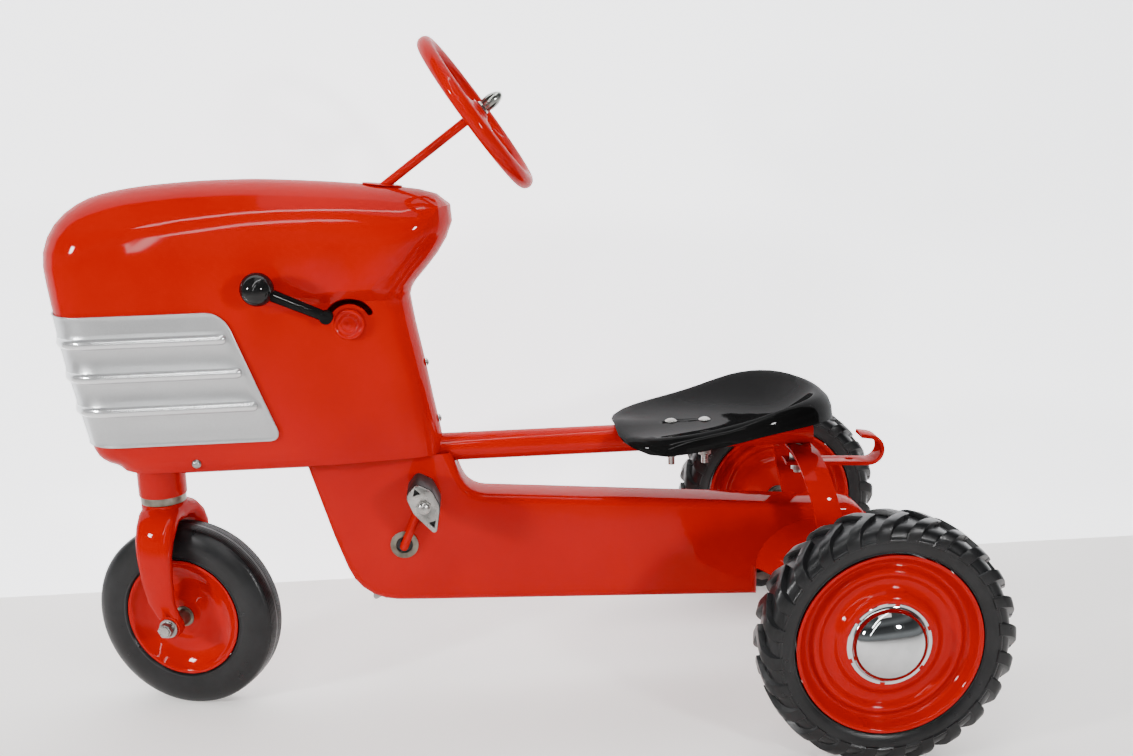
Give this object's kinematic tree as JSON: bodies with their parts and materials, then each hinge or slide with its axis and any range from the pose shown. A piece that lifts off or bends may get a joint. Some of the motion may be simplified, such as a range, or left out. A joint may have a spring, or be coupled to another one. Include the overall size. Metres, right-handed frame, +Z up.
{
  "type": "pedal tractor",
  "caption": "Child's three-wheel pedal tractor: pressed hood on a tube, steered front fork, chain case with pedal crank, pan seat, lugged rear tyres.",
  "frame": {"origin": "on the floor, under the middle of the tractor's length and width", "axes": "+Z up, front wheel towards -X, the tractor's left side towards -Y"},
  "size_m": [0.9968, 0.5558, 0.746],
  "materials": {
    "red_paint": "glossy red enamel on pressed steel",
    "silver_paint": "satin silver-grey paint",
    "black_paint": "satin black enamel",
    "black_plastic": "glossy black plastic",
    "zinc": "zinc-plated steel, slightly dull",
    "oiled_steel": "bare oiled steel",
    "chrome": "bright chrome plate",
    "tyre_rubber": "black moulded rubber with a dull skin",
    "pedal_rubber": "black rubber"
  },
  "bodies": {
    "frame": {"hood_shell": "red_paint", "grille_panel": "silver_paint", "column_grommet": "red_paint", "column_bracket": "red_paint", "main_tube": "red_paint", "head_tube": "red_paint", "head_bushes": "oiled_steel", "head_collar": "zinc", "body_screws": "zinc", "case_left": "red_paint", "case_right": "red_paint", "crank_races": "zinc", "crank_bushes": "black_plastic", "housing_left": "red_paint", "housing_right": "red_paint", "axle_bearings": "zinc", "arch_strap": "red_paint", "hitch_strap": "red_paint", "hitch_bolt": "zinc", "hitch_spacer": "zinc", "seat_pan": "black_paint", "seat_bolts": "zinc", "seat_nuts": "zinc", "lever_pin": "red_paint", "chain": "oiled_steel"},
    "fork": {"fork": "red_paint", "steering_arm": "zinc", "stem_nut": "zinc", "front_axle": "zinc", "front_axle_nuts": "zinc"},
    "front_wheel": {"front_disc": "red_paint", "front_tyre": "tyre_rubber", "front_hub": "oiled_steel"},
    "steering": {"steering_rod": "red_paint", "steering_wheel": "red_paint", "steering_nut": "chrome"},
    "lever": {"lever_arm": "black_paint", "lever_knob": "black_plastic"},
    "crank": {"crank": "red_paint", "front_sprocket": "oiled_steel", "pedal_nut_left": "zinc", "pedal_nut_right": "zinc"},
    "pedal_left": {"pedal_rubber_left": "pedal_rubber", "pedal_plates_left": "zinc"},
    "pedal_right": {"pedal_rubber_right": "pedal_rubber", "pedal_plates_right": "zinc"},
    "rear_axle": {"rear_axle": "zinc", "rear_sprocket": "oiled_steel", "rear_disc_right": "red_paint", "rear_tyre_right": "tyre_rubber", "rear_hub_right": "oiled_steel", "rear_cap_right": "chrome", "axle_nuts": "zinc"},
    "free_wheel": {"rear_disc_left": "red_paint", "rear_tyre_left": "tyre_rubber", "rear_hub_left": "oiled_steel", "rear_cap_left": "chrome"}
  },
  "joints": [
    {"name": "fork_steer", "type": "hinge", "parent": "frame", "child": "fork", "pos_m": [-0.3986, 0, 0.215], "axis": [0, 0, 1], "range_deg": [-17.5, 52.5]},
    {"name": "steering_turn", "type": "hinge", "parent": "frame", "child": "steering", "pos_m": [-0.0253, 0, 0.6634], "axis": [0.81, 0, 0.5864], "range_deg": [-17.5, 52.5]},
    {"name": "front_wheel_spin", "type": "hinge", "parent": "fork", "child": "front_wheel", "pos_m": [-0.37953, -0.00601, 0.108], "axis": [0.3007, 0.9537, 0], "continuous": true},
    {"name": "rear_axle_spin", "type": "hinge", "parent": "frame", "child": "rear_axle", "pos_m": [0.3654, 0, 0.133], "axis": [0, 1, 0], "continuous": true},
    {"name": "crank_spin", "type": "hinge", "parent": "frame", "child": "crank", "pos_m": [-0.1281, 0, 0.1827], "axis": [0, 1, 0], "continuous": true, "deforming": ["chain"]},
    {"name": "free_wheel_spin", "type": "hinge", "parent": "rear_axle", "child": "free_wheel", "pos_m": [0.3654, -0.2375, 0.133], "axis": [0, 1, 0], "continuous": true},
    {"name": "pedal_left_spin", "type": "hinge", "parent": "crank", "child": "pedal_left", "pos_m": [-0.10075, -0.0645, 0.24714], "axis": [0, 1, 0], "continuous": true},
    {"name": "pedal_right_spin", "type": "hinge", "parent": "crank", "child": "pedal_right", "pos_m": [-0.15545, 0.0645, 0.11826], "axis": [0, 1, 0], "continuous": true},
    {"name": "lever_swing", "type": "hinge", "parent": "frame", "child": "lever", "pos_m": [-0.1721, -0.0472, 0.44493], "axis": [0, 1, 0], "range_deg": [0, 124]}
  ],
  "couplings": [
    {"joint": "steering_turn", "follows": "fork_steer", "ratio": 1},
    {"joint": "crank_spin", "follows": "rear_axle_spin", "ratio": 0.77778}
  ]
}
